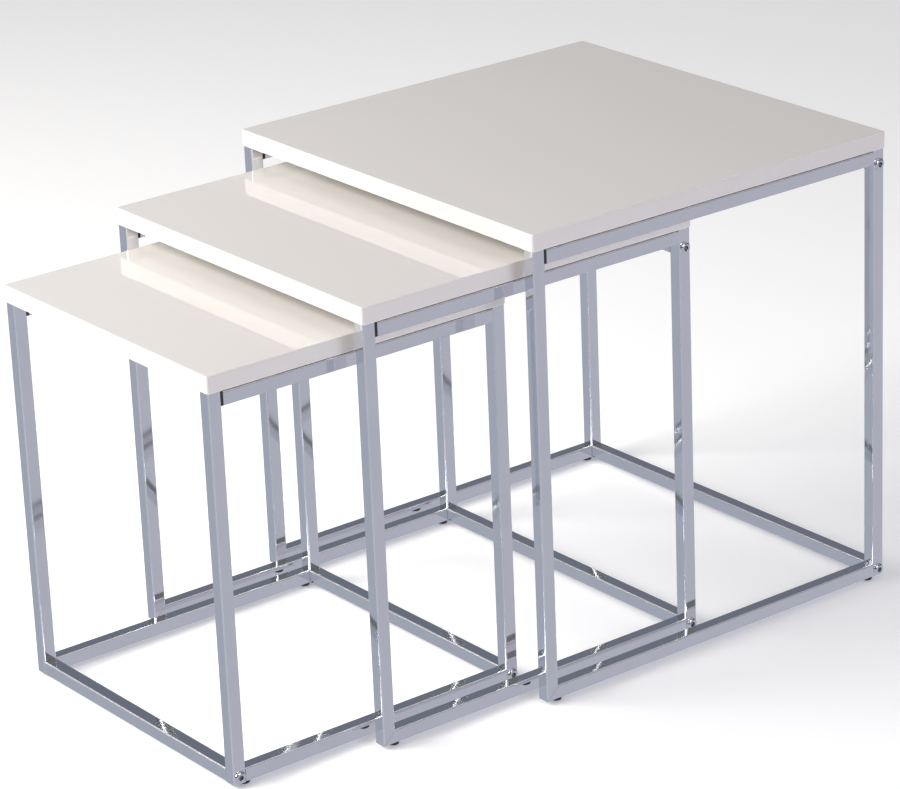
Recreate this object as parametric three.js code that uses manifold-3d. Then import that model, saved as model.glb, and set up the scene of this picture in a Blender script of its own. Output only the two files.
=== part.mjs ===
// A nest of three side tables. Each table is a gloss board on a chromed frame of square steel tube:
// two welded side frames, joined by bolted rails. The two larger tables are open at the front and
// have both rails at the back, so that the next table slides in; the small one has both at its foot.
// The medium table stands partly inside the large one, and the small one inside the medium one.
//
// Millimetres, +Z up. X runs along the front edges and the smaller tables pull out towards -Y.
// The origin is on the floor, under the middle of the set as it stands.

import * as THREE from 'three';
import { mergeVertices } from 'three/addons/utils/BufferGeometryUtils.js';
import Module from 'manifold-3d';

const wasm = await Module();
wasm.setup();

// Driving dimensions: the large table's frame, and how much smaller each next table is.
const LARGE_WIDTH = 400;
const LARGE_DEPTH = 387;
const LARGE_HEIGHT = 415;
const WIDTH_STEP = 53;
const DEPTH_STEP = 47;
const HEIGHT_STEP = 30;

// How far each smaller table's front stands out in front of the next larger one's.
const MEDIUM_PULL = 151;
const SMALL_PULL = 131;

// Board.
const BOARD_THICKNESS = 15;
const BOARD_OVERHANG = 1;
const BOARD_EDGE_RADIUS = 1.2;
const BOARD_CORNER_RADIUS = 2.5;

// Square tube, used for every leg and rail.
const TUBE = 12;
const TUBE_WALL = 1;
const TUBE_RADIUS = 1.2;
const RAIL_TO_BOARD_GAP = 1;
const BACK_RAIL_DROP = 7;
const BACK_RAIL_DROP_STEP = 4;
const VENT_RADIUS = 1.5;

// Black plugs that close the front ends of the side frames' top rails.
const PLUG_FLANGE = 2;
const PLUG_INSERT = 10;
const PLUG_CLEARANCE = 0.3;

// Button-head bolts with a hexagon socket, through the legs into the ends of the cross rails.
const BOLT_RADIUS = 3;
const BOLT_HEAD_RADIUS = 5.25;
const BOLT_HEAD_HEIGHT = 2.2;
const BOLT_SOCKET_RADIUS = 2.3;
const BOLT_SOCKET_DEPTH = 1.5;
const BOLT_REACH = 11;
const BOLT_CLEARANCE = 0.3;
const END_BLOCK = 14;

// Screws that hold a board down, with their heads inside the top rails.
const SCREW_RADIUS = 1.6;
const SCREW_HEAD_RADIUS = 3.5;
const SCREW_HEAD_HEIGHT = 2.2;
const SCREW_REACH = 10;
const SCREW_CLEARANCE = 0.4;
const SCREW_ACCESS_RADIUS = 4;
const SCREW_SETBACK = 20;

// Push-in glides under the bottom rails.
const GLIDE_HEIGHT = 3;
const GLIDE_RADIUS = 4.6;
const GLIDE_STEM_RADIUS = 2;
const GLIDE_STEM_LENGTH = 5;
const GLIDE_CLEARANCE = 0.3;
const GLIDE_SETBACK = 14;

// Facets of round shapes.
const CORNER_STEPS = 2;
const BOLT_SIDES = 14;
const SCREW_SIDES = 10;
const GLIDE_SIDES = 12;
const HOLE_SIDES = 10;
const SLIVER = 0.005;

// Derived sizes.
const HALF_TUBE = TUBE / 2;
const BORE = TUBE - 2 * TUBE_WALL;
const LARGE_FRONT = (MEDIUM_PULL + SMALL_PULL - LARGE_DEPTH) / 2;
const BOTTOM_RAIL_AXIS = GLIDE_HEIGHT + HALF_TUBE;

const TABLES = [
  tableSizes('large', 0, 0),
  tableSizes('medium', 1, MEDIUM_PULL),
  tableSizes('small', 2, MEDIUM_PULL + SMALL_PULL),
];

function tableSizes(name, step, pull) {
  const width = LARGE_WIDTH - step * WIDTH_STEP;
  const depth = LARGE_DEPTH - step * DEPTH_STEP;
  const height = LARGE_HEIGHT - step * HEIGHT_STEP;
  const front = LARGE_FRONT - pull;
  const underside = height - BOARD_THICKNESS;
  const backRailDrop = BACK_RAIL_DROP + step * BACK_RAIL_DROP_STEP;
  const openFront = name !== 'small';
  return { name, width, depth, height, front, underside, backRailDrop, openFront };
}

// Looks.

function gloss() {
  return new THREE.MeshStandardMaterial({ color: 0xeeebe6, roughness: 0.12, metalness: 0 });
}

function chrome() {
  return new THREE.MeshStandardMaterial({ color: 0xb4b8c2, roughness: 0.08, metalness: 1 });
}

function blackPlastic() {
  return new THREE.MeshStandardMaterial({ color: 0x141417, roughness: 0.5, metalness: 0 });
}

function zincSteel() {
  return new THREE.MeshStandardMaterial({ color: 0x9c9da2, roughness: 0.35, metalness: 1 });
}

// Solids. Coordinates are kept on a fine binary grid, so that faces meant to meet do so exactly.

function onGrid(value) {
  return Math.round(value * 1024) / 1024;
}

function solid(geometry) {
  const bare = geometry.index ? geometry.toNonIndexed() : geometry.clone();
  bare.deleteAttribute('normal');
  bare.deleteAttribute('uv');
  const position = bare.getAttribute('position');
  for (let i = 0; i < position.count; i += 1) {
    position.setXYZ(i, onGrid(position.getX(i)), onGrid(position.getY(i)), onGrid(position.getZ(i)));
  }
  const merged = mergeVertices(bare, 1e-4);
  const vertProperties = new Float32Array(merged.getAttribute('position').array);
  const triVerts = new Uint32Array(merged.getIndex().array);
  return new wasm.Manifold(new wasm.Mesh({ numProp: 3, vertProperties, triVerts }));
}

function joined(solids) {
  return solids.reduce((whole, piece) => whole.add(piece));
}

function cut(body, tools) {
  return tools.reduce((rest, tool) => rest.subtract(tool), body);
}

// Where mitred faces meet, a union can leave loose slivers with no volume beside the real body.
function withoutCrumbs(body) {
  return body.decompose().reduce((a, b) => (b.volume() > a.volume() ? b : a));
}

// Slivers far thinner than the grid of any real size are closed up on the way out.
function toGeometry(body) {
  const mesh = body.simplify(SLIVER).getMesh();
  const geometry = new THREE.BufferGeometry();
  geometry.setAttribute('position', new THREE.BufferAttribute(new Float32Array(mesh.vertProperties), 3));
  geometry.setIndex(new THREE.BufferAttribute(new Uint32Array(mesh.triVerts), 1));
  const flat = geometry.toNonIndexed();
  flat.computeVertexNormals();
  return flat;
}

// Sections and bars.

function roundedRectangle(width, height, radius) {
  const x = width / 2;
  const y = height / 2;
  const shape = new THREE.Shape();
  shape.moveTo(x, radius - y);
  shape.absarc(x - radius, y - radius, radius, 0, Math.PI / 2);
  shape.absarc(radius - x, y - radius, radius, Math.PI / 2, Math.PI);
  shape.absarc(radius - x, radius - y, radius, Math.PI, Math.PI * 1.5);
  shape.absarc(x - radius, radius - y, radius, Math.PI * 1.5, Math.PI * 2);
  return shape;
}

function square(size) {
  const half = size / 2;
  const shape = new THREE.Shape();
  shape.moveTo(half, -half);
  shape.lineTo(half, half);
  shape.lineTo(-half, half);
  shape.lineTo(-half, -half);
  shape.closePath();
  return shape;
}

const tubeSection = roundedRectangle(TUBE, TUBE, TUBE_RADIUS);
const boreSection = square(BORE);

// A bar along +Z from 0. A mitred end leans by its slope across the section's y, at 45 degrees for
// a slope of 1 or -1, about the point half a tube in from the end.
function bar(section, length, startSlope = 0, endSlope = 0) {
  const geometry = new THREE.ExtrudeGeometry(section, {
    depth: length,
    bevelEnabled: false,
    curveSegments: CORNER_STEPS,
  });
  const position = geometry.getAttribute('position');
  for (let i = 0; i < position.count; i += 1) {
    const y = position.getY(i);
    const atStart = position.getZ(i) < length / 2;
    const startZ = Math.abs(startSlope) * HALF_TUBE + startSlope * y;
    const endZ = length - Math.abs(endSlope) * HALF_TUBE + endSlope * y;
    position.setZ(i, atStart ? startZ : endZ);
  }
  return geometry;
}

// The same bar, turned to run along +Y or +X.
function barAlongY(section, length, startSlope = 0, endSlope = 0) {
  return bar(section, length, startSlope, endSlope).rotateX(-Math.PI / 2);
}

function barAlongX(section, length) {
  return bar(section, length).rotateY(Math.PI / 2);
}

// Round cutting tools: a pin along X or Z, centred on its own middle.
function pinAlongX(radius, length) {
  return new THREE.CylinderGeometry(radius, radius, length, HOLE_SIDES).rotateZ(Math.PI / 2);
}

function pinAlongZ(radius, length) {
  return new THREE.CylinderGeometry(radius, radius, length, HOLE_SIDES).rotateX(Math.PI / 2);
}

function profile(points) {
  return points.map(([radius, height]) => new THREE.Vector2(radius, height));
}

// Where the screws, bolts and glides of a table go, measured back from its front face.

function screwStations(table) {
  return {
    front: TUBE + PLUG_FLANGE + SCREW_SETBACK,
    back: table.depth - TUBE - SCREW_SETBACK,
  };
}

function glideStations(table) {
  return {
    front: GLIDE_SETBACK,
    back: table.depth - GLIDE_SETBACK,
  };
}

function topRailAxis(table) {
  return table.underside - RAIL_TO_BOARD_GAP - HALF_TUBE;
}

function crossRails(table) {
  const back = table.depth - HALF_TUBE;
  const topAxis = table.underside - table.backRailDrop - HALF_TUBE;
  const second = table.openFront
    ? { place: 'back_top', station: back, axis: topAxis }
    : { place: 'front_bottom', station: HALF_TUBE, axis: BOTTOM_RAIL_AXIS };
  return [{ place: 'back_bottom', station: back, axis: BOTTOM_RAIL_AXIS }, second];
}

// Board: eased all round, with blind pilot holes for its screws. It is drawn about the middle of
// its underside.
function boardGeometry(table) {
  const width = table.width + 2 * BOARD_OVERHANG;
  const depth = table.depth + 2 * BOARD_OVERHANG;
  const ease = BOARD_EDGE_RADIUS;
  const outline = roundedRectangle(width - 2 * ease, depth - 2 * ease, BOARD_CORNER_RADIUS - ease);
  const slab = new THREE.ExtrudeGeometry(outline, {
    depth: BOARD_THICKNESS - 2 * ease,
    bevelEnabled: true,
    bevelThickness: ease,
    bevelSize: ease,
    bevelSegments: 2,
    curveSegments: 3,
  });
  slab.translate(0, 0, ease);
  const across = table.width / 2 - HALF_TUBE;
  const holeDepth = SCREW_REACH + SCREW_CLEARANCE;
  const holes = [];
  for (const side of [-1, 1]) {
    for (const station of Object.values(screwStations(table))) {
      const hole = pinAlongZ(SCREW_RADIUS + SCREW_CLEARANCE, 2 * holeDepth);
      holes.push(solid(hole.translate(side * across, station - table.depth / 2, 0)));
    }
  }
  return toGeometry(cut(solid(slab), holes));
}

// Side frame: front leg, bottom rail and back leg are one mitred U of tube, and the top rail is
// welded to the back leg and stops short of the front leg. It is drawn in the plane x = 0, from
// the front face at y = 0, at its height above the floor.
function sideFrameBars(table, section, opening) {
  const legLength = table.underside - GLIDE_HEIGHT + opening;
  const frontLeg = bar(section, legLength, 1).translate(0, HALF_TUBE, GLIDE_HEIGHT);
  const backLeg = bar(section, legLength, -1).translate(0, table.depth - HALF_TUBE, GLIDE_HEIGHT);
  const bottomRail = barAlongY(section, table.depth, -1, 1).translate(0, 0, BOTTOM_RAIL_AXIS);
  return [frontLeg, backLeg, bottomRail];
}

function topRailBar(table, section, start, end) {
  return barAlongY(section, end - start).translate(0, start, topRailAxis(table));
}

function sideFrameGeometry(table) {
  const railStart = TUBE + PLUG_FLANGE;
  const railEnd = table.depth - TUBE;
  const outside = sideFrameBars(table, tubeSection, 0);
  outside.push(topRailBar(table, tubeSection, railStart, railEnd + TUBE_RADIUS));
  const inside = sideFrameBars(table, boreSection, TUBE_WALL);
  inside.push(topRailBar(table, boreSection, railStart - TUBE_WALL, railEnd));
  const holes = [];
  for (const rail of crossRails(table)) {
    const hole = pinAlongX(BOLT_RADIUS + BOLT_CLEARANCE, TUBE + 2);
    holes.push(hole.translate(0, rail.station, rail.axis));
  }
  for (const station of Object.values(glideStations(table))) {
    const hole = pinAlongZ(GLIDE_STEM_RADIUS + GLIDE_CLEARANCE, 2 * TUBE_WALL + 2);
    holes.push(hole.translate(0, station, GLIDE_HEIGHT));
  }
  for (const station of Object.values(screwStations(table))) {
    const access = pinAlongZ(SCREW_ACCESS_RADIUS, 2 * TUBE_WALL + 2);
    holes.push(access.translate(0, station, topRailAxis(table) - HALF_TUBE));
    const hole = pinAlongZ(SCREW_RADIUS + SCREW_CLEARANCE, 2 * TUBE_WALL + 2);
    holes.push(hole.translate(0, station, topRailAxis(table) + HALF_TUBE));
  }
  const frame = cut(joined(outside.map(solid)), [...inside, ...holes].map(solid));
  return toGeometry(withoutCrumbs(frame));
}

// Cross rail: a tube between the side frames, with a drilled block in each end for its bolt and a
// small vent in its underside. It is drawn about its middle.
function crossRailGeometry(table) {
  const length = table.width - 2 * TUBE;
  const outside = barAlongX(tubeSection, length).translate(-length / 2, 0, 0);
  const hollow = length - 2 * END_BLOCK;
  const inside = barAlongX(boreSection, hollow).translate(-hollow / 2, 0, 0);
  const vent = pinAlongZ(VENT_RADIUS, 2 * TUBE_WALL + 2).translate(0, 0, -HALF_TUBE);
  const holeDepth = BOLT_REACH + BOLT_CLEARANCE;
  const tools = [inside, vent];
  for (const side of [-1, 1]) {
    const hole = pinAlongX(BOLT_RADIUS + BOLT_CLEARANCE, 2 * holeDepth);
    tools.push(hole.translate(side * length / 2, 0, 0));
  }
  return toGeometry(cut(solid(outside), tools.map(solid)));
}

// Plug: a flange as large as the tube, and an insert that fills the rail's bore. It is drawn from
// the flange's outer face at y = 0.
function plugGeometry() {
  const flange = barAlongY(tubeSection, PLUG_FLANGE);
  const insertSection = square(BORE - 2 * PLUG_CLEARANCE);
  const insert = barAlongY(insertSection, PLUG_INSERT + 1).translate(0, PLUG_FLANGE - 1, 0);
  return toGeometry(joined([flange, insert].map(solid)));
}

// Bolt: drawn with its axis along Y and the underside of its head at y = 0.
function boltGeometry() {
  const turned = new THREE.LatheGeometry(profile([
    [0, -(TUBE + BOLT_REACH)],
    [BOLT_RADIUS, -(TUBE + BOLT_REACH)],
    [BOLT_RADIUS, 0],
    [BOLT_HEAD_RADIUS, 0],
    [BOLT_HEAD_RADIUS, BOLT_HEAD_HEIGHT * 0.2],
    [BOLT_HEAD_RADIUS * 0.86, BOLT_HEAD_HEIGHT * 0.65],
    [BOLT_HEAD_RADIUS * 0.6, BOLT_HEAD_HEIGHT],
    [0, BOLT_HEAD_HEIGHT],
  ]), BOLT_SIDES);
  const socket = new THREE.CylinderGeometry(BOLT_SOCKET_RADIUS, BOLT_SOCKET_RADIUS, 2 * BOLT_SOCKET_DEPTH, 6);
  socket.translate(0, BOLT_HEAD_HEIGHT, 0);
  return toGeometry(cut(solid(turned), [solid(socket)]));
}

// Screw: upright, drawn with the top of its head at z = 0.
function screwGeometry() {
  const shank = TUBE_WALL + RAIL_TO_BOARD_GAP + SCREW_REACH;
  const turned = new THREE.LatheGeometry(profile([
    [0, -SCREW_HEAD_HEIGHT],
    [SCREW_HEAD_RADIUS * 0.7, -SCREW_HEAD_HEIGHT],
    [SCREW_HEAD_RADIUS, -SCREW_HEAD_HEIGHT * 0.5],
    [SCREW_HEAD_RADIUS, 0],
    [SCREW_RADIUS, 0],
    [SCREW_RADIUS, shank - 2 * SCREW_RADIUS],
    [0, shank],
  ]), SCREW_SIDES).rotateX(Math.PI / 2);
  return toGeometry(solid(turned));
}

// Glide: upright, drawn from the floor.
function glideGeometry() {
  const turned = new THREE.LatheGeometry(profile([
    [0, 0],
    [GLIDE_RADIUS * 0.86, 0],
    [GLIDE_RADIUS, GLIDE_HEIGHT * 0.35],
    [GLIDE_RADIUS, GLIDE_HEIGHT],
    [GLIDE_STEM_RADIUS, GLIDE_HEIGHT],
    [GLIDE_STEM_RADIUS, GLIDE_HEIGHT + GLIDE_STEM_LENGTH],
    [0, GLIDE_HEIGHT + GLIDE_STEM_LENGTH],
  ]), GLIDE_SIDES).rotateX(Math.PI / 2);
  return toGeometry(solid(turned));
}

// Assembly. Each table is a group whose origin is on the floor at the middle of its front face.

function place(group, name, geometry, material, x, y, z) {
  const mesh = new THREE.Mesh(geometry, material);
  mesh.name = name;
  mesh.position.set(onGrid(x), onGrid(y), onGrid(z));
  group.add(mesh);
  return mesh;
}

function addSide(group, table, side) {
  const hand = side < 0 ? 'left' : 'right';
  const axis = side * (table.width / 2 - HALF_TUBE);
  const at = (piece) => `${table.name}_${piece}_${hand}`;
  place(group, at('side_frame'), sideFrameGeometry(table), chrome(), axis, 0, 0);
  place(group, at('rail_plug'), plugGeometry(), blackPlastic(), axis, TUBE, topRailAxis(table));
  for (const [end, station] of Object.entries(glideStations(table))) {
    place(group, at(`glide_${end}`), glideGeometry(), blackPlastic(), axis, station, 0);
  }
  const screwHeight = topRailAxis(table) + HALF_TUBE - TUBE_WALL;
  for (const [end, station] of Object.entries(screwStations(table))) {
    place(group, at(`screw_${end}`), screwGeometry(), zincSteel(), axis, station, screwHeight);
  }
  for (const rail of crossRails(table)) {
    const outside = side * table.width / 2;
    const bolt = place(group, at(`bolt_${rail.place}`), boltGeometry(), chrome(), outside, rail.station, rail.axis);
    bolt.rotation.z = -side * Math.PI / 2;
  }
}

function buildTable(table) {
  const group = new THREE.Group();
  group.name = `${table.name}_table`;
  group.position.set(0, table.front, 0);
  const middle = table.depth / 2;
  place(group, `${table.name}_board`, boardGeometry(table), gloss(), 0, middle, table.underside);
  addSide(group, table, -1);
  addSide(group, table, 1);
  for (const rail of crossRails(table)) {
    const name = `${table.name}_rail_${rail.place}`;
    place(group, name, crossRailGeometry(table), chrome(), 0, rail.station, rail.axis);
  }
  return group;
}

const nest = new THREE.Group();
nest.name = 'nest_of_tables';
for (const table of TABLES) {
  nest.add(buildTable(table));
}

export default nest;
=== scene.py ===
"""A nest of three side tables: gloss lacquered boards on chromed frames of square steel tube.

Metres, +Z up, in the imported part's own frame. Every piece rides on its own table's body.
"""

import math

import bmesh
import bpy
from bpy.props import FloatProperty, FloatVectorProperty, PointerProperty
from mathutils import Matrix, Vector


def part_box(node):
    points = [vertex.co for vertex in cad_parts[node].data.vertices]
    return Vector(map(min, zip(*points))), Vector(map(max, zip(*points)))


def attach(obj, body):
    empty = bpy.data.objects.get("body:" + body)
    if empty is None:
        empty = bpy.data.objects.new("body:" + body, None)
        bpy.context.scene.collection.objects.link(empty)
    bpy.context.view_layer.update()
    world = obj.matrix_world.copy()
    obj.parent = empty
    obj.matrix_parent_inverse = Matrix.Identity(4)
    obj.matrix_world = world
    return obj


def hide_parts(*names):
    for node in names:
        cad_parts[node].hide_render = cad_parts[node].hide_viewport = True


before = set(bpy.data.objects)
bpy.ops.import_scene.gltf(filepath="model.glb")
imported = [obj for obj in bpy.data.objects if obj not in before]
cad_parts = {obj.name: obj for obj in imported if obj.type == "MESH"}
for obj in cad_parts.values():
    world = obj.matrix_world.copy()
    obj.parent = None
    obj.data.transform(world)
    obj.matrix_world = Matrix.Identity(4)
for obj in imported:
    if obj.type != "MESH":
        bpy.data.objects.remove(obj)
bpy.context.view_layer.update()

bl_info = {
    "name": "Nest of Side Tables",
    "version": (1, 0, 0),
    "blender": (4, 5, 0),
    "location": "View3D > Sidebar > Nest of Tables",
    "description": "Builds three nesting side tables: gloss boards on chromed square-tube frames",
    "category": "Add Mesh",
}

MM = 0.001
TABLES = ("large", "medium", "small")
HANDS = {"left": -1, "right": 1}
ENDS = ("front", "back")
BUTTED_TABLE = "small"

ARRIS_FACETS = 4
EASE_FACETS = 6
ROUND_FACETS = 48
GLIDE_FACETS = 32
SHARP_ANGLE = math.radians(33)

# The stage: a pale screen that the camera never sees, a floor that glows faintly, and lamps. Each
# lamp has a place, its width and height, and a colour. Its power is the stage setting of its name.
SCREEN_HEADING = (-0.797, 0.604, 0.0)
SCREEN_TINT = (0.93, 1.0, 1.22)
FLOOR_DROP = 0.5 * MM
FLOOR_GLOW = 0.22
LAMP_TARGET = (0.0, 0.0, 0.25)
LAMPS = {
    "key": ((-0.85, -1.95, 1.55), (1.9, 1.3), (1.0, 0.975, 0.94)),
    "fill": ((2.7, 0.2, 1.3), (1.0, 0.9), (0.83, 0.81, 1.0)),
    "top": ((-0.3, 0.3, 3.2), (2.4, 2.4), (1.0, 0.99, 0.97)),
}

JOINT_GAP = 0.25 * MM
# Points of a top rail within this of its top carry the painted shadow of the gap under the board.
GAP_SHADOW_DEPTH = 0.05 * MM
# Strengths of the painted highlight along tube arrises: upper rail arrises, legs all along and more
# near the floor, none below rails.
RAIL_SHINE = 0.5
LEG_SHINE = 0.2
LEG_FOOT_SHINE = 0.25
LOW_SHINE_HEIGHT = 0.12
UNDER_SHINE = 0.0

SCREW_HOLE = 2.0 * MM
SCREW_ACCESS = 4.0 * MM
VENT_HOLE = 1.5 * MM
HOLE_LENGTH = 3.0 * MM
HOLE_FACETS = 32

PLUG_FLANGE = 2.0 * MM
BOLT_LENGTH = 23.0 * MM
BOLT_SHANK = 3.0 * MM
BOLT_HEAD = 5.25 * MM
BOLT_HEAD_HEIGHT = 2.2 * MM
BOLT_SOCKET_DEPTH = 1.5 * MM
SCREW_HEAD = 3.5 * MM
SCREW_HEAD_HEIGHT = 2.2 * MM


# Where the parts are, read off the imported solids.


def centre_of(node):
    """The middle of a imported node."""
    low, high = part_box(node)
    return (low + high) / 2


class Table:
    """One table's places in metres, taken from its right side frame and its right rail plug."""

    def __init__(self, name):
        low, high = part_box(f"{name}_side_frame_right")
        self.name = name
        self.body = f"{name}_table"
        self.tube = high.x - low.x
        self.half_width = high.x
        self.front, self.back = low.y, high.y
        self.foot, self.underside = low.z, high.z
        self.rail_axis = centre_of(f"{name}_rail_plug_right").z

    def leg_x(self, side):
        return side * (self.half_width - self.tube / 2)


# Sizes, colours and stage settings that can be changed.


def length(name, description, default, low, high):
    """A length in metres, for the settings below."""
    return FloatProperty(
        name=name, description=description, default=default, min=low, max=high,
        precision=5, subtype="DISTANCE", unit="LENGTH",
    )


def angle(name, description, degrees):
    """An angle, given in degrees."""
    return FloatProperty(
        name=name, description=description, default=math.radians(degrees),
        subtype="ANGLE", unit="ROTATION",
    )


def colour(name, description, default):
    """A scene-linear colour."""
    return FloatVectorProperty(
        name=name, description=description, default=default, size=3, min=0.0, max=1.0,
        subtype="COLOR",
    )


def share(name, description, default, high=1.0):
    """A plain number from 0 up."""
    return FloatProperty(name=name, description=description, default=default, min=0.0, max=high)


class NestSizes(bpy.types.PropertyGroup):
    """Fine sizes of the boards, tubes and fittings."""

    board_ease: length(
        "Board edge radius", "How far a board's arrises are rounded over",
        0.0009, 0.0002, 0.004,
    )
    board_corner: length(
        "Board corner radius", "Radius of a board's corners in plan",
        0.0025, 0.0015, 0.02,
    )
    tube_arris: length("Tube arris radius", "Radius of a tube's long edges", 0.0012, 0.0003, 0.003)
    tube_wall: length("Tube wall", "Wall thickness of the tubes", 0.001, 0.0005, 0.003)
    seam_width: length(
        "Seam width", "Half the width of the fine line at a welded joint",
        0.00022, 0.00005, 0.001,
    )
    seam_depth: length(
        "Seam depth", "Depth of the fine line at a welded joint",
        0.00014, 0.00002, 0.0005,
    )
    weld_spread: length(
        "Weld spread", "How far from a joint the tube walls are a little wavy",
        0.055, 0.01, 0.1,
    )
    socket_flats: length(
        "Bolt socket", "Width across the flats of a bolt's hexagon socket",
        0.004, 0.002, 0.005,
    )


class NestColours(bpy.types.PropertyGroup):
    """Colours of the finishes."""

    lacquer: colour("Lacquer", "Gloss lacquer on the boards", (0.765, 0.737, 0.708))
    underside: colour("Underside", "Sealed underside of the boards", (0.78, 0.765, 0.745))
    # Painted light: the plate gets one colour on faces towards the front and back, another on faces
    # towards the sides.
    chrome: colour(
        "Chrome", "Chromium plate on faces towards the front and back",
        (0.780, 0.815, 0.855),
    )
    chrome_side_light: colour(
        "Chrome side", "Chromium plate on faces towards the sides",
        (0.930, 0.915, 0.950),
    )
    # A painted highlight: the brighter plate colour laid along the tube arrises.
    arris: colour("Chrome arris", "Brighter plate where an arris was polished", (0.95, 0.95, 0.97))
    bolt: colour("Bolt", "Chromium plate on the bolts", (0.84, 0.85, 0.88))
    zinc: colour("Zinc", "Zinc plate on the board screws", (0.50, 0.50, 0.52))
    plastic: colour("Plastic", "Black plastic of the plugs and glides", (0.012, 0.012, 0.014))


class NestStage(bpy.types.PropertyGroup):
    """Floor, surroundings, lights and camera."""

    floor: colour("Floor", "Plain pale floor", (0.93, 0.93, 0.935))
    mirrored_floor: colour(
        "Mirrored floor", "The floor as chrome and lacquer mirror it",
        (0.45, 0.465, 0.53),
    )
    backdrop: colour("Backdrop", "Pale surroundings seen beyond the floor", (0.93, 0.93, 0.935))
    floor_size: length("Floor size", "Width of the floor", 16.0, 2.0, 60.0)
    surround: share("Surroundings", "Brightness of the room above the tables", 0.34, 10.0)
    screen: share(
        "Screen", "Brightness of the pale screen behind, times the surroundings",
        0.56, 10.0,
    )
    key: share("Key light", "Power of the warm key light in watts", 85.0, 5000.0)
    fill: share("Fill light", "Power of the cool fill light in watts", 22.0, 5000.0)
    top: share("Top light", "Power of the overhead light in watts", 6.0, 5000.0)
    lens: FloatProperty(
        name="Lens", description="Focal length in millimetres", default=150.13,
        min=20.0, max=400.0,
    )
    azimuth: angle(
        "Camera azimuth", "Bearing of the camera, from the front towards the right", 52.81,
    )
    elevation: angle("Camera elevation", "Height of the camera above the horizon", 21.21)
    roll: angle("Camera roll", "Turn of the camera about its own axis", -2.43)
    distance: length("Camera distance", "From the aim point to the camera", 3.2049, 0.5, 20.0)
    aim: FloatVectorProperty(
        name="Aim", description="Point that the camera looks at", default=(0.0258, -0.0089, 0.2180),
        size=3, subtype="TRANSLATION", unit="LENGTH",
    )


# Shader maths.


class Value:
    """A shader value: arithmetic on it adds Math nodes."""

    def __init__(self, finish, socket):
        self.finish = finish
        self.socket = socket

    def _with(self, operation, first, second):
        node = self.finish.node("ShaderNodeMath", {"operation": operation}, {0: first, 1: second})
        return Value(self.finish, node.outputs[0])

    def __add__(self, other):
        return self._with("ADD", self, other)

    def __radd__(self, other):
        return self._with("ADD", other, self)

    def __sub__(self, other):
        return self._with("SUBTRACT", self, other)

    def __rsub__(self, other):
        return self._with("SUBTRACT", other, self)

    def __mul__(self, other):
        return self._with("MULTIPLY", self, other)

    def __rmul__(self, other):
        return self._with("MULTIPLY", other, self)

    def above(self, edge):
        """1 where the value is over the edge, and 0 elsewhere."""
        return self._with("GREATER_THAN", self, edge)


class Finish:
    """The node tree of a finish or of the surroundings."""

    def __init__(self, owner):
        owner.use_nodes = True
        self.tree = owner.node_tree
        self.tree.nodes.clear()

    def node(self, kind, settings=(), sockets=()):
        """Adds a node: its settings first, then the values or links of its sockets."""
        node = self.tree.nodes.new(kind)
        for name, setting in dict(settings).items():
            if name == "stops":
                self.set_stops(node.color_ramp, setting)
            else:
                setattr(node, name, setting)
        for name, value in dict(sockets).items():
            self.feed(node.inputs[name], value)
        return node

    def feed(self, socket, value):
        """Links a socket to a value, or sets it."""
        if isinstance(value, Value):
            value = value.socket
        if isinstance(value, bpy.types.NodeSocket):
            self.tree.links.new(value, socket)
        elif hasattr(value, "__len__") and len(value) == 3 and socket.type == "RGBA":
            socket.default_value = (*value, 1.0)
        else:
            socket.default_value = value

    @staticmethod
    def set_stops(ramp, stops):
        """Gives a ramp its stops, each a place and a grey or a colour."""
        while len(ramp.elements) < len(stops):
            ramp.elements.new(0.5)
        for element, (place, shade) in zip(ramp.elements, stops):
            element.position = place
            parts = shade if hasattr(shade, "__len__") else (shade, shade, shade)
            element.color = (*parts, 1.0)

    def value(self, *arguments, output=0):
        """The output of a new node, as a value."""
        return Value(self, self.node(*arguments).outputs[output])

    def place(self, stretch=(1.0, 1.0, 1.0)):
        """Where a point lies on the piece, stretched to draw out a grain."""
        where = self.node("ShaderNodeTexCoord").outputs["Object"]
        mapping = self.node("ShaderNodeMapping", {}, {"Vector": where, "Scale": stretch})
        return mapping.outputs["Vector"]

    def noise(self, scale, detail=2.0, roughness=0.5, stretch=(1.0, 1.0, 1.0)):
        """Soft noise around a half, with so many features to a metre."""
        place = self.place(stretch)
        return self.value(
            "ShaderNodeTexNoise", {},
            {"Vector": place, "Scale": scale, "Detail": detail, "Roughness": roughness},
        )

    def marked(self, name):
        """A share that the mesh carries at its points."""
        node = self.node("ShaderNodeAttribute", {"attribute_name": name})
        return Value(self, node.outputs["Fac"])

    def blend(self, factor, first, second):
        """A colour part way from the first to the second."""
        node = self.node(
            "ShaderNodeMix", {"data_type": "RGBA", "clamp_factor": True},
            {0: factor, 6: first, 7: second},
        )
        return node.outputs[2]

    def relief(self, height, depth, under=None):
        """A normal with this height at this depth in metres, over another normal."""
        sockets = {"Height": height, "Distance": depth, "Strength": 1.0}
        if under is not None:
            sockets["Normal"] = under
        return self.node("ShaderNodeBump", {}, sockets).outputs["Normal"]

    def surface(self, sockets):
        """The principled shader, as the tree's surface."""
        shader = self.node("ShaderNodeBsdfPrincipled", {}, sockets)
        self.node("ShaderNodeOutputMaterial", {}, {"Surface": shader.outputs["BSDF"]})
        return shader


def scaled(shade, factor, most=1.0):
    """A colour made darker or lighter."""
    return tuple(min(most, part * factor) for part in shade)


# Finishes.


def finish_material(name, draw, *colours):
    """A material by name, drawn the first time that it is asked for."""
    material = bpy.data.materials.get(name)
    if material is None:
        material = bpy.data.materials.new(name)
        draw(Finish(material), *(tuple(shade) for shade in colours))
    return material


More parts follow.
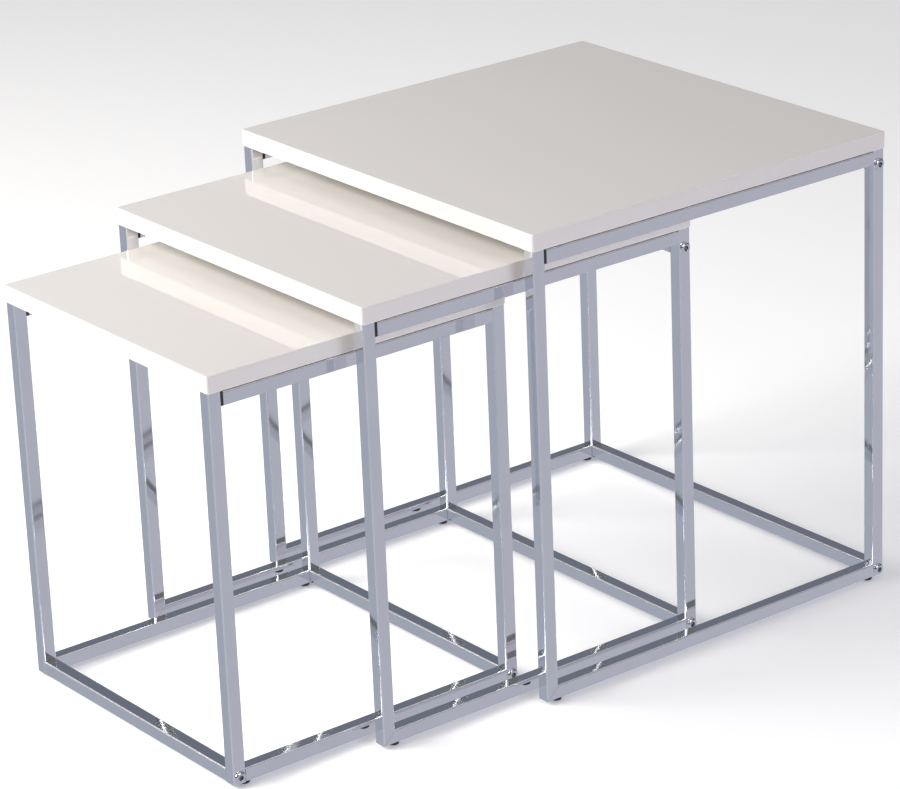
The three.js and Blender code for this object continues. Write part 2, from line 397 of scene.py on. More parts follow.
def draw_gloss_lacquer(finish, lacquer):
    """Polished lacquer: faint clouding, a trace of orange peel, haze and a painted highlight along
    the arrises.
    """
    clouds = finish.noise(5.0, 3.0)
    nibs = finish.noise(900.0, 0.0).above(0.80)
    arris_highlight = finish.marked("arris")
    body = finish.blend(clouds, scaled(lacquer, 0.985), scaled(lacquer, 1.015))
    body = finish.blend(nibs * 0.25, body, scaled(lacquer, 0.9))
    # Painted highlight: the arrises are painted paler.
    body = finish.blend(arris_highlight * 0.6, body, scaled(lacquer, 1.18))
    haze = finish.noise(14.0, 4.0, 0.6)
    peel = finish.noise(420.0, 1.0)
    sag = finish.noise(9.0, 1.0)
    normal = finish.relief(sag, 0.00012)
    normal = finish.relief(peel, 0.0000025, normal)
    finish.surface({
        "Base Color": body,
        "Roughness": 0.05 + haze * haze * 0.12,
        "Coat Weight": 1.0,
        "Coat Roughness": 0.02,
        "Specular IOR Level": 0.0,
        "Normal": normal,
    })


def draw_sealed_underside(finish, underside):
    """A thin satin sealer over sanded board, with its fibres just showing."""
    fibres = finish.noise(700.0, 3.0, 0.6, (1.0, 0.25, 1.0))
    patches = finish.noise(18.0, 2.0)
    shade = finish.blend(fibres, scaled(underside, 0.93), scaled(underside, 1.06))
    finish.surface({
        "Base Color": shade,
        "Roughness": 0.42 + patches * 0.2,
        "Normal": finish.relief(fibres, 0.00004),
    })


def draw_tube_chrome(finish, chrome, side, arris):
    """Chromium plate on drawn tube: painted highlights on the arrises, faint draw lines and wavy
    walls by the welds.

    Side walls get painted light in their own tone; the wall a board covers gets a nearly black
    painted shadow.
    """
    edge = finish.marked("arris")
    heat = finish.marked("heat")
    covered = finish.marked("covered")
    facing = finish.node("ShaderNodeTexCoord").outputs["Normal"]
    side_light_mask = finish.value("ShaderNodeSeparateXYZ", {}, {"Vector": facing})
    streaks = finish.noise(260.0, 2.0, 0.6, (1.0, 0.06, 0.06))
    smudges = finish.noise(22.0, 3.0, 0.6)
    # Painted light: faces towards the sides take the side colour, faces towards the front and back
    # the other.
    plate = finish.blend(side_light_mask * side_light_mask, chrome, side)
    plate = finish.blend(smudges * 0.16, plate, scaled(chrome, 0.5))
    # Painted highlight: the arrises are painted towards the bright arris colour.
    plate = finish.blend(edge * 0.95, plate, arris)
    # Painted shadow: the top wall under the board is painted nearly black so the gap reads dark.
    plate = finish.blend(covered, plate, scaled(chrome, 0.06))
    ripples = finish.noise(27.0, 0.0)
    swell = finish.noise(7.0, 0.0)
    normal = finish.relief(swell, 0.00016)
    normal = finish.relief(ripples * heat, 0.00016, normal)
    normal = finish.relief(streaks, 0.0000010, normal)
    finish.surface({
        "Base Color": plate,
        # The arrises are partly non-metallic and rougher, so their painted highlight shows as a
        # bright line.
        "Metallic": 1.0 - edge * 0.6,
        "Roughness": 0.04 + smudges * smudges * 0.09 + edge * 0.2,
        "Normal": normal,
    })


def draw_bolt_chrome(finish, bolt):
    """Plated bolt: bright turned head and a socket darkened with painted shade."""
    socket = finish.marked("socket")
    turned = finish.noise(300.0, 2.0)
    plate = finish.blend(turned, scaled(bolt, 0.9), scaled(bolt, 1.1))
    # Painted shade: the socket recess is painted dark.
    plate = finish.blend(socket, plate, scaled(bolt, 0.34))
    finish.surface({
        "Base Color": plate,
        "Metallic": 1.0,
        "Roughness": 0.10 + socket * 0.25,
        "Normal": finish.relief(turned, 0.00001),
    })


def draw_zinc_screw(finish, zinc):
    """Zinc plate: a fine grey spangle with duller patches."""
    spangle = finish.noise(900.0, 3.0, 0.7)
    shade = finish.blend(spangle, scaled(zinc, 0.75), scaled(zinc, 1.2))
    finish.surface({
        "Base Color": shade,
        "Metallic": 1.0,
        "Roughness": 0.25 + spangle * 0.25,
        "Normal": finish.relief(spangle, 0.00001),
    })


def draw_black_plastic(finish, plastic):
    """Moulded black plastic: a fine grain and slightly greyed, scuffed edges."""
    grain = finish.noise(1600.0, 2.0)
    scuffs = finish.noise(160.0, 4.0, 0.7)
    edge = finish.marked("arris")
    shade = finish.blend(scuffs * 0.3 + edge * 0.4, plastic, scaled(plastic, 4.0))
    finish.surface({
        "Base Color": shade,
        "Roughness": 0.38 + scuffs * 0.25,
        "Normal": finish.relief(grain, 0.00002),
    })


# Mesh making.


def rounded_rectangle(half_x, half_y, radius, facets=ARRIS_FACETS):
    """Points and arris shares round a rectangle with rounded corners, counter-clockwise."""
    points = []
    for turn, (sx, sy) in enumerate(((1, 1), (-1, 1), (-1, -1), (1, -1))):
        for step in range(facets + 1):
            bearing = (turn + step / facets) * math.pi / 2
            x = sx * (half_x - radius) + radius * math.cos(bearing)
            y = sy * (half_y - radius) + radius * math.sin(bearing)
            points.append((x, y, 0.0 if step in (0, facets) else 1.0))
    return points


def circle(radius, facets=ROUND_FACETS):
    """Points round a circle."""
    turns = (2 * math.pi * step / facets for step in range(facets))
    return [(radius * math.cos(turn), radius * math.sin(turn), 0.0) for turn in turns]


def hexagon(flats, facets=ROUND_FACETS):
    """Points round a hexagon, as many as round a circle."""
    points = []
    for step in range(facets):
        turn = 2 * math.pi * step / facets
        off_flat = (turn + math.pi / 6) % (math.pi / 3) - math.pi / 6
        reach = flats / 2 / math.cos(off_flat)
        points.append((reach * math.cos(turn), reach * math.sin(turn), 0.0))
    return points


def cross_recess(reach, half_arm, facets=ROUND_FACETS):
    """Points round a plus-shaped recess, as many as round a circle."""
    points = []
    for step in range(facets):
        turn = 2 * math.pi * step / facets
        off_arm = abs((turn + math.pi / 4) % (math.pi / 2) - math.pi / 4)
        tip = reach / math.cos(off_arm)
        side = half_arm / max(math.sin(off_arm), 1e-6)
        out = min(tip, side) if math.tan(off_arm) > half_arm / reach else tip
        points.append((out * math.cos(turn), out * math.sin(turn), 0.0))
    return points


class Shell:
    """A closed mesh skinned over rings of points that all have the same count."""

    def __init__(self):
        self.mesh = bmesh.new()
        self.arris = self.mesh.verts.layers.float.new("arris")
        self.marks = {}

    def mark(self, name):
        """A further share that the points carry."""
        if name not in self.marks:
            self.marks[name] = self.mesh.verts.layers.float.new(name)
        return self.marks[name]

    def ring(self, outline, origin, across, up):
        """A ring of points: the outline laid on two directions from an origin."""
        ring = []
        for x, y, edge in outline:
            point = self.mesh.verts.new(origin + across * x + up * y)
            point[self.arris] = edge
            ring.append(point)
        return ring

    def skin(self, rings, looped=False, capped=False):
        """Joins rings one to the next, and either closes the row on itself or caps its ends."""
        pairs = list(zip(rings, rings[1:]))
        if looped:
            pairs.append((rings[-1], rings[0]))
        for first, second in pairs:
            for i, point in enumerate(first):
                j = (i + 1) % len(first)
                self.mesh.faces.new((point, first[j], second[j], second[i]))
        if capped:
            self.mesh.faces.new(reversed(rings[0]))
            self.mesh.faces.new(rings[-1])

    def heat_near(self, joints, spread):
        """Marks the points close to a welded joint."""
        heat = self.mark("heat")
        for point in self.mesh.verts:
            gap = min((point.co - joint).length for joint in joints)
            point[heat] = max(0.0, 1.0 - gap / spread)

    def paint_gap_shadow_above(self, height):
        """Marks the points at a height or over it, where the board lies close, for the painted
        shadow of the gap.
        """
        covered = self.mark("covered")
        for point in self.mesh.verts:
            point[covered] = 1.0 if point.co.z > height else 0.0

    def done(self, name):
        """The finished mesh, smooth except at its sharp edges."""
        bmesh.ops.recalc_face_normals(self.mesh, faces=self.mesh.faces)
        for face in self.mesh.faces:
            face.smooth = True
        for edge in self.mesh.edges:
            edge.smooth = edge.calc_face_angle(0.0) < SHARP_ANGLE
        mesh = bpy.data.meshes.new(name)
        self.mesh.to_mesh(mesh)
        self.mesh.free()
        return mesh


def add_object(name, mesh, *materials):
    """An object in the scene, with its finishes."""
    piece = bpy.data.objects.new(name, mesh)
    bpy.context.scene.collection.objects.link(piece)
    if not mesh.materials:
        for material in materials:
            mesh.materials.append(material)
    return piece


def even_normals(piece):
    """Lets the flat faces set the normals, so that only the arrises are shaded round."""
    modifier = piece.modifiers.new("Even normals", "WEIGHTED_NORMAL")
    modifier.mode = "FACE_AREA"
    modifier.keep_sharp = True


def fit_piece(piece, body, slot, *nodes):
    """Puts a piece on its table's body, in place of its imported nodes."""
    even_normals(piece)
    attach(piece, body)
    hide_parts(*nodes)


def drill(piece, holes):
    """Cuts round holes: each a centre, a direction, a radius and a length."""
    for centre, way, radius, depth in holes:
        cutter = bmesh.new()
        turn = way.to_track_quat("Z", "Y").to_matrix().to_4x4()
        bmesh.ops.create_cone(
            cutter, cap_ends=True, segments=HOLE_FACETS, radius1=radius, radius2=radius,
            depth=depth, matrix=Matrix.Translation(centre) @ turn,
        )
        mesh = bpy.data.meshes.new("drill")
        cutter.to_mesh(mesh)
        cutter.free()
        tool = bpy.data.objects.new("drill", mesh)
        bpy.context.scene.collection.objects.link(tool)
        modifier = piece.modifiers.new("Drill", "BOOLEAN")
        modifier.operation = "DIFFERENCE"
        modifier.solver = "EXACT"
        modifier.object = tool
        bpy.context.view_layer.update()
        graph = bpy.context.evaluated_depsgraph_get()
        drilled = bpy.data.meshes.new_from_object(piece.evaluated_get(graph))
        piece.modifiers.remove(modifier)
        piece.data = drilled
        bpy.data.objects.remove(tool)


X = Vector((1.0, 0.0, 0.0))
Y = Vector((0.0, 1.0, 0.0))
Z = Vector((0.0, 0.0, 1.0))


def painted_bright(outline, way, place):
    """Sets a ring's painted highlight on its arrises: rails are painted bright along their upper
    arrises, legs more near the floor.
    """
    if abs(way.z) < 0.5:
        return [(x, y, edge * (UNDER_SHINE if y > 0 else RAIL_SHINE)) for x, y, edge in outline]
    low = max(0.0, 1.0 - place.z / LOW_SHINE_HEIGHT)
    shine = LEG_SHINE + (LEG_FOOT_SHINE - LEG_SHINE) * low
    return [(x, y, edge * shine) for x, y, edge in outline]


def corner_rings(shell, outline, inset_outline, corner, across, before, after, sizes):
    """Rings at a mitred corner: the mitre plane with a fine seam line, if there is one to draw."""
    up = before.cross(across) + after.cross(across)
    if inset_outline is None:
        return [shell.ring(outline, corner, across, up)]
    first, last = corner - before * sizes.seam_width, corner + after * sizes.seam_width
    return [
        shell.ring(painted_bright(outline, before, corner), first, across, up),
        shell.ring(painted_bright(inset_outline, before, corner), corner, across, up),
        shell.ring(painted_bright(outline, after, corner), last, across, up),
    ]


def tube_rings(shell, path, half, radius, sizes, seamed):
    """Rings of a square tube along a path of straight runs, mitred where it turns."""
    outline = rounded_rectangle(half, half, radius)
    inset = half - sizes.seam_depth
    inset_outline = rounded_rectangle(inset, inset, radius) if seamed else None
    ways = [(b - a).normalized() for a, b in zip(path, path[1:])]
    rings = [shell.ring(painted_bright(outline, ways[0], path[0]), path[0], X, ways[0].cross(X))]
    for i, way in enumerate(ways):
        up = way.cross(X)
        run = (path[i + 1] - path[i]).length
        for part in run_stations(run, sizes.weld_spread):
            place = path[i] + way * part
            rings.append(shell.ring(painted_bright(outline, way, place), place, X, up))
        if i + 1 < len(ways):
            rings += corner_rings(
                shell, outline, inset_outline, path[i + 1], X, way, ways[i + 1], sizes,
            )
    last = painted_bright(outline, ways[-1], path[-1])
    rings.append(shell.ring(last, path[-1], X, ways[-1].cross(X)))
    return rings


def run_stations(run, spread):
    """Places along a run where its welded ends stop being wavy."""
    near = [spread * 0.35, spread * 0.7, spread]
    far = [run - part for part in reversed(near)]
    if run <= 2 * spread:
        return [run / 2]
    return [part for part in near + far if near[0] <= part <= run - near[0]]


def hollow_tube(path, table, sizes, joints):
    """A square tube with its bore open at both ends."""
    shell = Shell()
    half = table.tube / 2
    bore = half - sizes.tube_wall
    outer = tube_rings(shell, path, half, sizes.tube_arris, sizes, True)
    inner = tube_rings(shell, path, bore, sizes.tube_wall * 0.3, sizes, False)
    shell.skin(outer + inner[::-1], looped=True)
    shell.heat_near(joints, sizes.weld_spread)
    return shell


# Pieces.


def board_mesh(name, centre, half_x, half_y, low, high, sizes):
    """A board with rounded arrises; its underside has the second finish."""
    shell = Shell()
    ease, corner = sizes.board_ease, sizes.board_corner
    turns = [math.pi / 2 * step / EASE_FACETS for step in range(EASE_FACETS + 1)]
    levels = [(ease * (1 - math.sin(turn)), low + ease * (1 - math.cos(turn))) for turn in turns]
    levels += [(inset, high + low - height) for inset, height in levels[::-1]]
    rings = []
    for inset, height in levels:
        outline = rounded_rectangle(half_x - inset, half_y - inset, corner - inset, EASE_FACETS)
        on_arris = 0.0 if inset < ease * 0.01 or inset > ease * 0.99 else 1.0
        outline = [(x, y, on_arris) for x, y, _ in outline]
        rings.append(shell.ring(outline, Vector((centre.x, centre.y, height)), X, Y))
    shell.skin(rings, capped=True)
    bottom = min(shell.mesh.faces, key=lambda face: face.calc_center_median().z)
    bottom.material_index = 1
    return shell.done(name)


class NEST_OT_boards(bpy.types.Operator):
    """Make the three gloss boards"""

    bl_idname = "nest.boards"
    bl_label = "Boards"

    def execute(self, context):
        sizes, colours = context.scene.nest_sizes, context.scene.nest_colours
        gloss = finish_material("gloss_lacquer", draw_gloss_lacquer, colours.lacquer)
        sealed = finish_material("sealed_underside", draw_sealed_underside, colours.underside)
        for name in TABLES:
            node = f"{name}_board"
            low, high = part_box(node)
            middle, half = (low + high) / 2, (high - low) / 2
            mesh = board_mesh(f"{name}_top", middle, half.x, half.y, low.z, high.z, sizes)
            piece = add_object(f"{name}_top", mesh, gloss, sealed)
            fit_piece(piece, f"{name}_table", "board", node)
        return {"FINISHED"}


def chrome_finish(colours):
    """The plate on every tube."""
    return finish_material(
        "tube_chrome", draw_tube_chrome, colours.chrome, colours.chrome_side_light, colours.arris,
    )


def side_paths(table, side):
    """The paths of a side frame's legs and bottom rail: one mitred U, or a leg and a butted L."""
    x = table.leg_x(side)
    half = table.tube / 2
    front, back = table.front + half, table.back - half
    low = table.foot + half
    down = Vector((x, front, table.underside))
    corner_front = Vector((x, front, low))
    corner_back = Vector((x, back, low))
    up = Vector((x, back, table.underside))
    if table.name != BUTTED_TABLE:
        return {"legs": [down, corner_front, corner_back, up]}
    return {
        "front_leg": [down, Vector((x, front, table.foot))],
        "back_leg": [Vector((x, front + half, low)), corner_back, up],
    }


class NEST_OT_side_frames(bpy.types.Operator):
    """Make the welded side frames: legs, bottom rails and top rails"""

    bl_idname = "nest.side_frames"
    bl_label = "Side frames"

    def execute(self, context):
        sizes = context.scene.nest_sizes
        chrome = chrome_finish(context.scene.nest_colours)
        for table in map(Table, TABLES):
            for hand, side in HANDS.items():
                node = f"{table.name}_side_frame_{hand}"
                rail = self.top_rail_path(table, side, hand)
                for part, path in side_paths(table, side).items():
                    joints = [*path[1:-1], rail[-1], Vector((path[0].x, table.front, table.foot))]
                    name = f"{table.name}_{part}_{hand}"
                    mesh = hollow_tube(path, table, sizes, joints).done(name)
                    piece = add_object(name, mesh, chrome)
                    fit_piece(piece, table.body, "chrome_tube", node)
                name = f"{table.name}_top_rail_{hand}"
                shell = hollow_tube(rail, table, sizes, [rail[-1]])
                # Painted shadow on the rail's top wall, for the gap under the board.
                shell.paint_gap_shadow_above(table.rail_axis + table.tube / 2 - GAP_SHADOW_DEPTH)
                piece = add_object(name, shell.done(name), chrome)
                drill(piece, self.screw_holes(table, hand))
                fit_piece(piece, table.body, "chrome_tube", node)
        return {"FINISHED"}

    def top_rail_path(self, table, side, hand):
        """From the plug's flange to the back leg."""
        flange_back = table.front + table.tube + PLUG_FLANGE
        x = table.leg_x(side)
        start = Vector((x, flange_back, table.rail_axis))
        return [start, Vector((x, table.back - table.tube, table.rail_axis))]

    def screw_holes(self, table, hand):
        """An access hole below each screw, and its clearance hole above."""
        holes = []
        for end in ENDS:
            screw = centre_of(f"{table.name}_screw_{end}_{hand}")
            low = Vector((screw.x, screw.y, table.rail_axis - table.tube / 2))
            holes.append((low, Z, SCREW_ACCESS, HOLE_LENGTH))
            high = Vector((screw.x, screw.y, table.rail_axis + table.tube / 2))
            holes.append((high, Z, SCREW_HOLE, HOLE_LENGTH))
        return holes


class NEST_OT_cross_rails(bpy.types.Operator):
    """Make the rails that bolt between the side frames"""

    bl_idname = "nest.cross_rails"
    bl_label = "Cross rails"

    def execute(self, context):
        sizes = context.scene.nest_sizes
        chrome = chrome_finish(context.scene.nest_colours)
        for table in map(Table, TABLES):
            for node in sorted(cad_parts):
                if node.startswith(f"{table.name}_rail_") and "plug" not in node:
                    self.add_rail(table, node, sizes, chrome)
        return {"FINISHED"}

    def add_rail(self, table, node, sizes, chrome):
        """One straight rail with a small vent below."""
        low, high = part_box(node)
        middle = (low + high) / 2
        shell = Shell()
        ends = [Vector((low.x, middle.y, middle.z)), Vector((high.x, middle.y, middle.z))]
        half, spread = table.tube / 2, sizes.weld_spread * 0.5
        run = high.x - low.x
        places = [JOINT_GAP, spread, run - spread, run - JOINT_GAP]
        # Painted highlight shares: the upper arrises are painted bright, the lower ones not.
        outer = [
            (x, y, edge * (RAIL_SHINE if y > 0 else UNDER_SHINE))
            for x, y, edge in rounded_rectangle(half, half, sizes.tube_arris)
        ]
        inner_half = half - sizes.tube_wall
        inner = rounded_rectangle(inner_half, inner_half, sizes.tube_wall * 0.3)
        rings = [shell.ring(outer, ends[0] + X * part, Y, Z) for part in places]
        rings += [shell.ring(inner, ends[0] + X * part, Y, Z) for part in reversed(places)]
        shell.skin(rings, looped=True)
        shell.heat_near(ends, spread)
        name = node.replace("_rail_", "_cross_rail_")
        piece = add_object(name, shell.done(name), chrome)
        drill(piece, [(Vector((middle.x, middle.y, low.z)), Z, VENT_HOLE, HOLE_LENGTH)])
        fit_piece(piece, table.body, "chrome_tube", node)


def stacked_mesh(name, levels, along, marks=()):
    """A solid skinned over outlines set along an axis, capped at both ends."""
    shell = Shell()
    layers = {mark: shell.mark(mark) for mark, _, _ in marks}
    across = Y if along is X else X
    up = along.cross(across)
    rings = [shell.ring(outline, along * height, across, up) for outline, height in levels]
    for mark, first, last in marks:
        layer = layers[mark]
        for ring in rings[first:last]:
            for point in ring:
                point[layer] = 1.0
    shell.skin(rings, capped=True)
    return shell.done(name)


def plug_mesh(table):
    """A plug from its outer face at zero: an eased flange, then a ribbed insert."""
    half = table.tube / 2

    def square(inset, radius, edge=0.0):
        return [
            (x, y, edge) for x, y, _ in rounded_rectangle(half - inset, half - inset, radius)
        ]

    levels = [
        (square(0.3 * MM, 0.9 * MM), 0.0),
        (square(0.08 * MM, 1.1 * MM, 1.0), 0.08 * MM),
        (square(0.0, 1.2 * MM), 0.3 * MM),
        (square(0.0, 1.2 * MM), PLUG_FLANGE - 0.3 * MM),
        (square(0.08 * MM, 1.1 * MM, 1.0), PLUG_FLANGE - 0.08 * MM),
        (square(0.3 * MM, 0.9 * MM), PLUG_FLANGE),
        (square(1.5 * MM, 0.3 * MM), PLUG_FLANGE),
    ]
    for rib in range(3):
        start = (3.4 + 2.6 * rib) * MM
        levels.append((square(1.5 * MM, 0.3 * MM), start))
        levels.append((square(1.15 * MM, 0.3 * MM, 1.0), start + 0.2 * MM))
        levels.append((square(1.5 * MM, 0.3 * MM), start + 1.2 * MM))
    levels.append((square(1.5 * MM, 0.3 * MM), 11.4 * MM))
    levels.append((square(1.9 * MM, 0.3 * MM), 12.0 * MM))
    return stacked_mesh(f"{table.name}_plug", levels, Y)


class NEST_OT_rail_plugs(bpy.types.Operator):
    """Make the black plugs at the front ends of the top rails"""

    bl_idname = "nest.rail_plugs"
    bl_label = "Rail plugs"

    def execute(self, context):
        plastic = context.scene.nest_colours.plastic
        black = finish_material("black_plastic", draw_black_plastic, plastic)
        for table in map(Table, TABLES):
            mesh = plug_mesh(table)
            for hand in HANDS:
                node = f"{table.name}_rail_plug_{hand}"
                piece = add_object(f"{table.name}_plug_{hand}", mesh, black)
                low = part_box(node)[0]
                middle = centre_of(node)
                piece.location = (middle.x, low.y, middle.z)
                fit_piece(piece, table.body, "black_plastic", node)
        return {"FINISHED"}


def bolt_mesh(sizes):
    """A button-head bolt along X, with the underside of its head at zero."""
    height, flats = BOLT_HEAD_HEIGHT, sizes.socket_flats
    dome = []
    for step in range(7):
        turn = math.radians(8 + 11 * step)
        radius = BOLT_SHANK + 2.2 * MM * math.cos(turn)
        dome.append((circle(radius), 0.35 * MM + 1.85 * MM * math.sin(turn)))
    levels = [
        (circle(BOLT_SHANK - 0.6 * MM), -BOLT_LENGTH),
        (circle(BOLT_SHANK), 0.7 * MM - BOLT_LENGTH),
        (circle(BOLT_SHANK), 0.0),
        (circle(BOLT_HEAD - 0.15 * MM), 0.0),
        (circle(BOLT_HEAD), 0.15 * MM),
        (circle(BOLT_HEAD), 0.4 * MM),
        *dome,
        (circle(3.05 * MM), height),
        (circle(flats * 0.62), height),
        (hexagon(flats * 1.01), height - 0.2 * MM),
        (hexagon(flats), height - 0.3 * MM),
        (hexagon(flats), height - BOLT_SOCKET_DEPTH),
        (circle(flats * 0.2), height - BOLT_SOCKET_DEPTH - 0.3 * MM),
    ]
    first = len(levels) - 4
    return stacked_mesh("bolt", levels, X, [("socket", first, len(levels))])


class NEST_OT_bolts(bpy.types.Operator):
    """Make the socket bolts that hold the cross rails"""

    bl_idname = "nest.bolts"
    bl_label = "Bolts"

    def execute(self, context):
        sizes = context.scene.nest_sizes
        plate = finish_material("bolt_chrome", draw_bolt_chrome, context.scene.nest_colours.bolt)
        mesh = bolt_mesh(sizes)
        for table in map(Table, TABLES):
            for node in sorted(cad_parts):
                if not node.startswith(f"{table.name}_bolt_"):
                    continue
                side = -1 if node.endswith("left") else 1
                piece = add_object(node.replace("_bolt_", "_socket_bolt_"), mesh, plate)
                middle = centre_of(node)
                turn = 0.0 if side > 0 else math.pi
                piece.rotation_euler = (math.radians(17.0 * len(node)), 0.0, turn)
                piece.location = (side * table.half_width, middle.y, middle.z)
                fit_piece(piece, table.body, "chrome_bolt", node)
        return {"FINISHED"}


def screw_mesh():
    """A board screw: cross recess below, threaded shank above, top of its head at zero."""
    levels = [
        (cross_recess(1.2 * MM, 0.25 * MM), -1.0 * MM),
        (cross_recess(1.9 * MM, 0.5 * MM), -SCREW_HEAD_HEIGHT),
        (circle(2.3 * MM), -SCREW_HEAD_HEIGHT),
        (circle(3.1 * MM), -1.7 * MM),
        (circle(SCREW_HEAD), -0.9 * MM),
        (circle(SCREW_HEAD), 0.0),
        (circle(1.25 * MM), 0.0),
    ]
    for turn in range(8):
        start = (1.2 + 1.1 * turn) * MM
        levels.append((circle(1.2 * MM), start))
        levels.append((circle(1.6 * MM), start + 0.45 * MM))
        levels.append((circle(1.2 * MM), start + 0.8 * MM))
    levels.append((circle(0.2 * MM), 12.0 * MM))
    return stacked_mesh("board_screw", levels, Z, [("socket", 0, 2)])


class NEST_OT_board_screws(bpy.types.Operator):
    """Make the screws that hold the boards down"""

    bl_idname = "nest.board_screws"
    bl_label = "Board screws"

    def execute(self, context):
        zinc = finish_material("zinc_screw", draw_zinc_screw, context.scene.nest_colours.zinc)
        mesh = screw_mesh()
        for name in TABLES:
            for end in ENDS:
                for hand in HANDS:
                    node = f"{name}_screw_{end}_{hand}"
                    piece = add_object(f"{name}_board_screw_{end}_{hand}", mesh, zinc)
                    low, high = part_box(node)
                    middle = (low + high) / 2
                    piece.location = (middle.x, middle.y, low.z + SCREW_HEAD_HEIGHT)
                    fit_piece(piece, f"{name}_table", "zinc_screw", node)
        return {"FINISHED"}


def glide_mesh():
    """A push-in glide standing on the floor at zero, with a barbed stem."""
    disc = [(3.4, 0.0), (4.1, 0.12), (4.5, 0.5), (4.6, 1.0), (4.6, 2.7), (4.45, 3.0), (2.0, 3.0)]
    stem = [(2.0, 4.4), (2.2, 4.6), (1.9, 5.8), (2.15, 6.0), (1.8, 7.2), (1.4, 8.0)]
    levels = [(circle(radius * MM, GLIDE_FACETS), height * MM) for radius, height in disc + stem]
    return stacked_mesh("glide", levels, Z)


class NEST_OT_glides(bpy.types.Operator):
    """Make the black glides under the bottom rails"""

    bl_idname = "nest.glides"
    bl_label = "Glides"

    def execute(self, context):
        plastic = context.scene.nest_colours.plastic
        black = finish_material("black_plastic", draw_black_plastic, plastic)
        mesh = glide_mesh()
        for name in TABLES:
            for end in ENDS:
                for hand in HANDS:
                    node = f"{name}_glide_{end}_{hand}"
                    piece = add_object(f"{name}_foot_{end}_{hand}", mesh, black)
                    middle = centre_of(node)
                    piece.location = (middle.x, middle.y, 0.0)
                    fit_piece(piece, f"{name}_table", "black_plastic", node)
        return {"FINISHED"}


# Stage.


def draw_floor(finish, shade, mirrored):
    """A plain matt floor that glows faintly, and that gloss finishes mirror as a plain grey."""
    pale = finish.node("ShaderNodeBsdfPrincipled", {}, {
        "Base Color": shade,
        "Roughness": 0.9,
        "Specular IOR Level": 0.1,
        "Emission Color": (1.0, 1.0, 1.0),
        "Emission Strength": FLOOR_GLOW,
    })
    grey = finish.node("ShaderNodeEmission", {}, {"Color": mirrored, "Strength": 1.0})
    glossy = finish.node("ShaderNodeLightPath").outputs["Is Glossy Ray"]
    sockets = {0: glossy, 1: pale.outputs[0], 2: grey.outputs[0]}
    both = finish.node("ShaderNodeMixShader", {}, sockets)
    finish.node("ShaderNodeOutputMaterial", {}, {"Surface": both.outputs[0]})


def draw_surroundings(world, stage):
    """A soft room, dim low down and bright overhead, with a pale screen on one side.

    The camera sees none of it, only a plain backdrop beyond the floor.
    """
    room = Finish(world)
    where = room.node("ShaderNodeTexCoord").outputs["Generated"]
    height = room.node("ShaderNodeSeparateXYZ", {}, {"Vector": where}).outputs["Z"]
    stops = ((0.0, 0.16), (0.16, 0.20), (0.30, 0.42), (0.48, 0.62), (0.72, 1.0))
    glow = room.node("ShaderNodeValToRGB", {"stops": stops}, {"Fac": height}).outputs["Color"]
    heading = room.node(
        "ShaderNodeVectorMath", {"operation": "DOT_PRODUCT"}, {0: where, 1: SCREEN_HEADING},
    )
    stops = ((0.72, 0.0), (0.88, 1.0))
    screen = room.node("ShaderNodeValToRGB", {"stops": stops}, {"Fac": heading.outputs["Value"]})
    glow = room.blend(screen.outputs["Color"], glow, scaled(SCREEN_TINT, stage.screen, 10.0))
    seen = room.node("ShaderNodeLightPath").outputs["Is Camera Ray"]
    lit = room.node("ShaderNodeBackground", {}, {"Color": glow, "Strength": stage.surround})
    plain = room.node("ShaderNodeBackground", {}, {"Color": tuple(stage.backdrop), "Strength": 1.0})
    both = room.node("ShaderNodeMixShader", {}, {0: seen, 1: lit.outputs[0], 2: plain.outputs[0]})
    room.node("ShaderNodeOutputWorld", {}, {"Surface": both.outputs[0]})


def add_soft_box(name, place, size, power, shade):
    """A rectangular area light aimed at the tables."""
    light = bpy.data.lights.new(name, "AREA")
    light.shape = "RECTANGLE"
    light.size, light.size_y = size
    light.energy = power
    light.color = shade
    lamp = bpy.data.objects.new(name, light)
    bpy.context.scene.collection.objects.link(lamp)
    lamp.location = place
    way = Vector(LAMP_TARGET) - Vector(place)
    lamp.rotation_euler = way.to_track_quat("-Z", "Y").to_euler()


def add_camera(stage):
    """The camera, from its bearing, height, roll and distance."""
    camera = bpy.data.objects.new("camera", bpy.data.cameras.new("camera"))
    bpy.context.scene.collection.objects.link(camera)
    camera.data.lens = stage.lens
    camera.data.sensor_width = 36.0
    camera.data.clip_start, camera.data.clip_end = 0.1, 100.0
    a, e = stage.azimuth, stage.elevation
    back = Vector((math.sin(a) * math.cos(e), -math.cos(a) * math.cos(e), math.sin(e)))
    right = Vector((math.cos(a), math.sin(a), 0.0))
    turn = Matrix.Rotation(stage.roll, 3, back)
    right, up = turn @ right, turn @ back.cross(right)
    rotation = Matrix((right, up, back)).transposed().to_4x4()
    camera.matrix_world = Matrix.Translation(Vector(stage.aim) + back * stage.distance) @ rotation
    bpy.context.scene.camera = camera


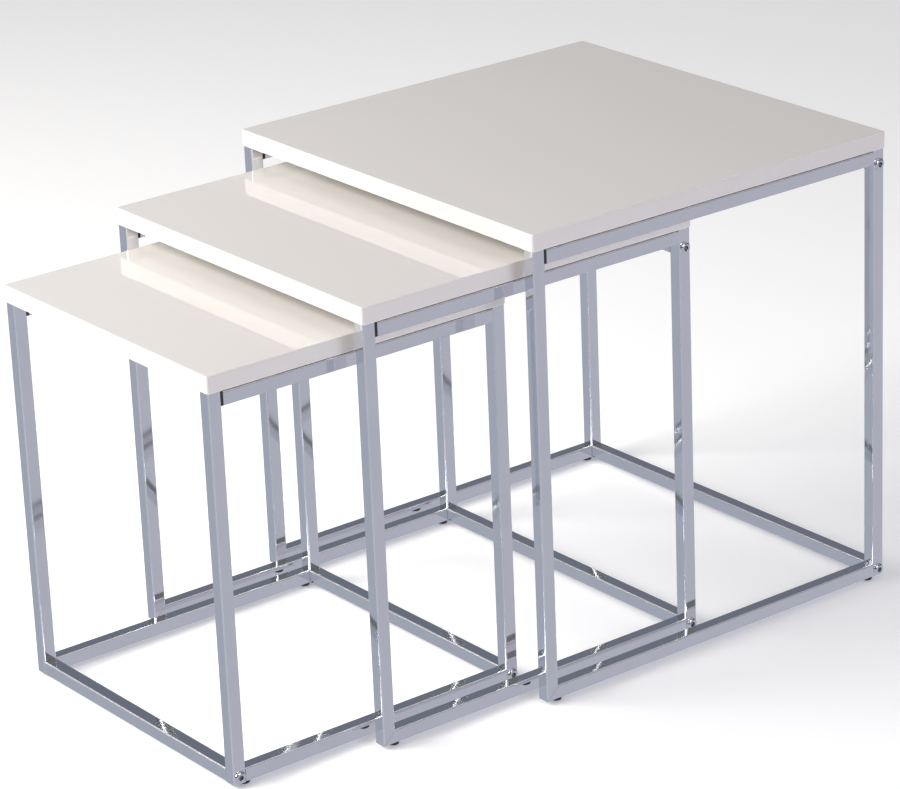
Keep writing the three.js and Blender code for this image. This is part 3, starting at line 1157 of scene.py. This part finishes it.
class NEST_OT_stage(bpy.types.Operator):
    """Make the pale floor, the soft surroundings, the lights and the camera"""

    bl_idname = "nest.stage"
    bl_label = "Stage"

    def execute(self, context):
        scene, stage = context.scene, context.scene.nest_stage
        scene.view_settings.view_transform = "Standard"
        bm = bmesh.new()
        bmesh.ops.create_grid(bm, x_segments=1, y_segments=1, size=stage.floor_size / 2)
        mesh = bpy.data.meshes.new("floor")
        bm.to_mesh(mesh)
        bm.free()
        pale = finish_material("pale_floor", draw_floor, stage.floor, stage.mirrored_floor)
        floor = add_object("floor", mesh, pale)
        floor.location.z = -FLOOR_DROP
        scene.world = bpy.data.worlds.new("surroundings")
        draw_surroundings(scene.world, stage)
        for name, (place, size, shade) in LAMPS.items():
            add_soft_box(f"{name}_light", place, size, getattr(stage, name), shade)
        add_camera(stage)
        return {"FINISHED"}


class NEST_PT_tables(bpy.types.Panel):
    """Steps for building the nest of tables"""

    bl_idname = "NEST_PT_tables"
    bl_label = "Nest of Tables"
    bl_space_type = "VIEW_3D"
    bl_region_type = "UI"
    bl_category = "Nest of Tables"

    def draw(self, context):
        for operator in OPERATORS:
            self.layout.operator(operator.bl_idname)
        for settings in GROUPS:
            group = getattr(context.scene, settings)
            box = self.layout.box()
            for name in group.__annotations__:
                box.prop(group, name)


GROUPS = {"nest_sizes": NestSizes, "nest_colours": NestColours, "nest_stage": NestStage}
OPERATORS = (
    NEST_OT_boards,
    NEST_OT_side_frames,
    NEST_OT_cross_rails,
    NEST_OT_rail_plugs,
    NEST_OT_bolts,
    NEST_OT_board_screws,
    NEST_OT_glides,
    NEST_OT_stage,
)


def register():
    for cls in (*GROUPS.values(), *OPERATORS, NEST_PT_tables):
        bpy.utils.register_class(cls)
    for name, group in GROUPS.items():
        setattr(bpy.types.Scene, name, PointerProperty(type=group))


def unregister():
    for name in GROUPS:
        delattr(bpy.types.Scene, name)
    for cls in reversed((*GROUPS.values(), *OPERATORS, NEST_PT_tables)):
        bpy.utils.unregister_class(cls)


def main():
    register()
    bpy.ops.nest.stage()
    bpy.ops.nest.boards()
    bpy.ops.nest.side_frames()
    bpy.ops.nest.cross_rails()
    bpy.ops.nest.rail_plugs()
    bpy.ops.nest.bolts()
    bpy.ops.nest.board_screws()
    bpy.ops.nest.glides()


if __name__ == "__main__":
    main()
